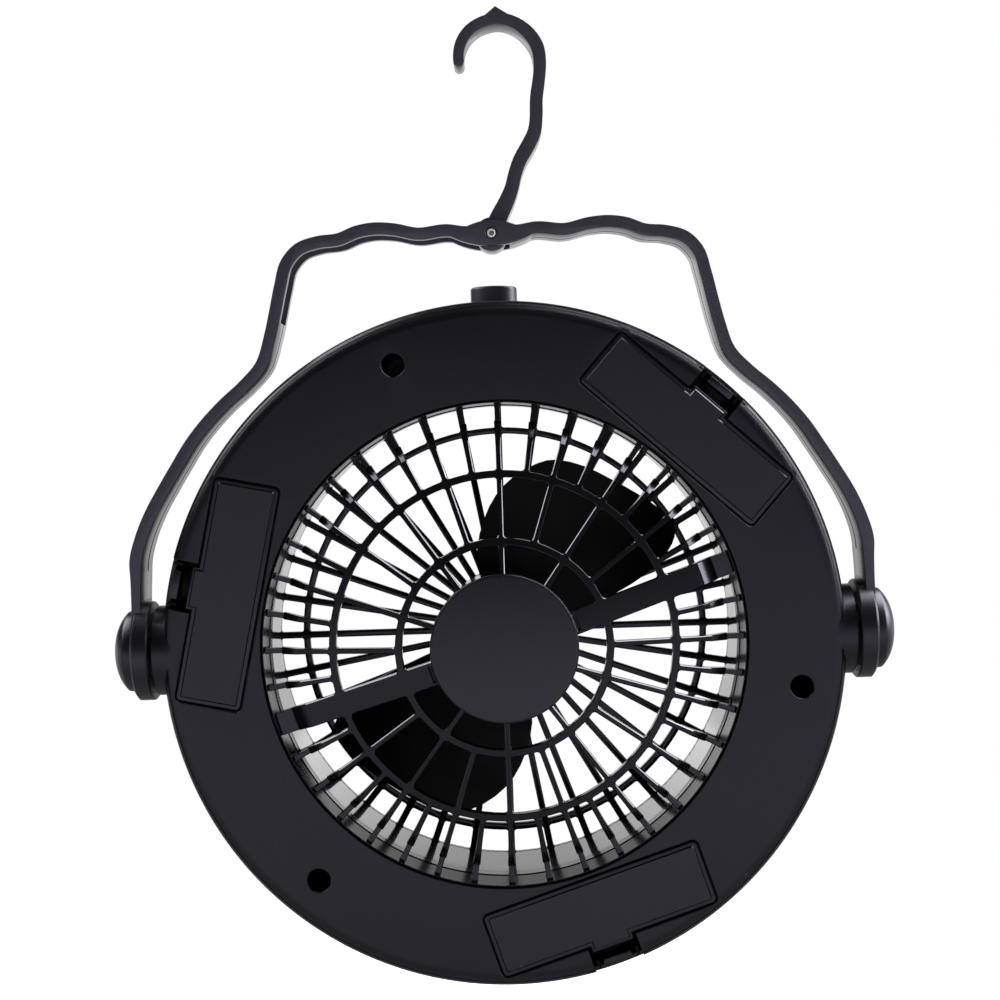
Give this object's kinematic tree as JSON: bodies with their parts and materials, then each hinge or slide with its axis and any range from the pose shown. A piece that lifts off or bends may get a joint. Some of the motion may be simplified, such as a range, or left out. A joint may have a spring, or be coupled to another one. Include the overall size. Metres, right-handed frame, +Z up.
{
  "type": "portable hanging fan",
  "caption": "Round battery camping fan with a domed rear grille, ring light and battery doors, carried by a swinging bail with a fold-away hook.",
  "frame": {"origin": "middle of the hook's seat, on the inner side of its crown, where a line or branch carries the fan", "axes": "+Z up along the bail and hook, +X along the pivot axis to the right as seen from the rear, +Y from the rear grille to the front light"},
  "size_m": [0.2196, 0.0558, 0.273],
  "materials": {
    "rear_plastic": "fine matte moulded black",
    "front_plastic": "smooth glossy black",
    "grille_plastic": "fine matte black with glossy sides",
    "guard_plastic": "smooth black",
    "cover_plastic": "fine matte black",
    "rotor_plastic": "smooth deep black",
    "lens_plastic": "frosted clear",
    "reflector_plastic": "white",
    "board": "green lacquer",
    "lamp_plastic": "clear resin over phosphor",
    "door_plastic": "fine matte moulded black",
    "cell_sleeve": "plain grey sleeve",
    "steel": "plated",
    "inner_plastic": "matte black",
    "terminal_metal": "tinned brass",
    "button_plastic": "smooth black",
    "washer_rubber": "matte",
    "bail_plastic": "fine matte faces, glossy edges",
    "cap_plastic": "fine matte",
    "hook_plastic": "fine matte"
  },
  "bodies": {
    "hook": {"hook": "hook_plastic"},
    "bail": {"bail": "bail_plastic", "hook_pin": "steel", "pivot_cap_left": "cap_plastic", "pivot_cap_right": "cap_plastic"},
    "case": {"rear_case": "rear_plastic", "front_case": "front_plastic", "rear_grille": "grille_plastic", "front_grille": "guard_plastic", "motor_cover": "cover_plastic", "motor_can": "steel", "motor_end_cap": "inner_plastic", "motor_terminals": "terminal_metal", "motor_screws": "steel", "light_lens": "lens_plastic", "light_reflector": "reflector_plastic", "lamp_board": "board", "lamps_leds": "lamp_plastic", "battery_cells": "cell_sleeve", "battery_springs": "steel", "battery_contacts": "steel", "switch_body": "inner_plastic", "case_screws": "steel", "pivot_screws": "steel", "friction_washers": "washer_rubber"},
    "rotor": {"fan_rotor": "rotor_plastic", "motor_shaft": "steel"},
    "button": {"push_button": "button_plastic", "switch_stem": "inner_plastic"},
    "door_1": {"battery_door_1": "door_plastic"},
    "door_2": {"battery_door_2": "door_plastic"},
    "door_3": {"battery_door_3": "door_plastic"}
  },
  "joints": [
    {"name": "hook_fold", "type": "hinge", "parent": "hook", "child": "bail", "pos_m": [0, 0, -0.058], "axis": [0, 1, 0], "range_deg": [0, 104]},
    {"name": "bail_tilt", "type": "hinge", "parent": "bail", "child": "case", "pos_m": [0, 0, -0.1721], "axis": [1, 0, 0], "continuous": true},
    {"name": "rotor_spin", "type": "hinge", "parent": "case", "child": "rotor", "pos_m": [0, 0, -0.1721], "axis": [0, 1, 0], "continuous": true},
    {"name": "button_press", "type": "slide", "parent": "case", "child": "button", "axis": [0, 0, -1], "range_m": [0, 0.002], "stiffness_N_per_m": 700, "springref_m": -0.001},
    {"name": "door_1_open", "type": "hinge", "parent": "case", "child": "door_1", "pos_m": [0.04587, -0.013, -0.12116], "axis": [0.7431, 0, -0.6691], "range_deg": [0, 60]},
    {"name": "door_2_open", "type": "hinge", "parent": "case", "child": "door_2", "pos_m": [-0.06705, -0.013, -0.15785], "axis": [0.2079, 0, 0.9781], "range_deg": [0, 60]},
    {"name": "door_3_open", "type": "hinge", "parent": "case", "child": "door_3", "pos_m": [0.02118, -0.013, -0.2373], "axis": [-0.9511, 0, -0.309], "range_deg": [0, 60]}
  ]
}
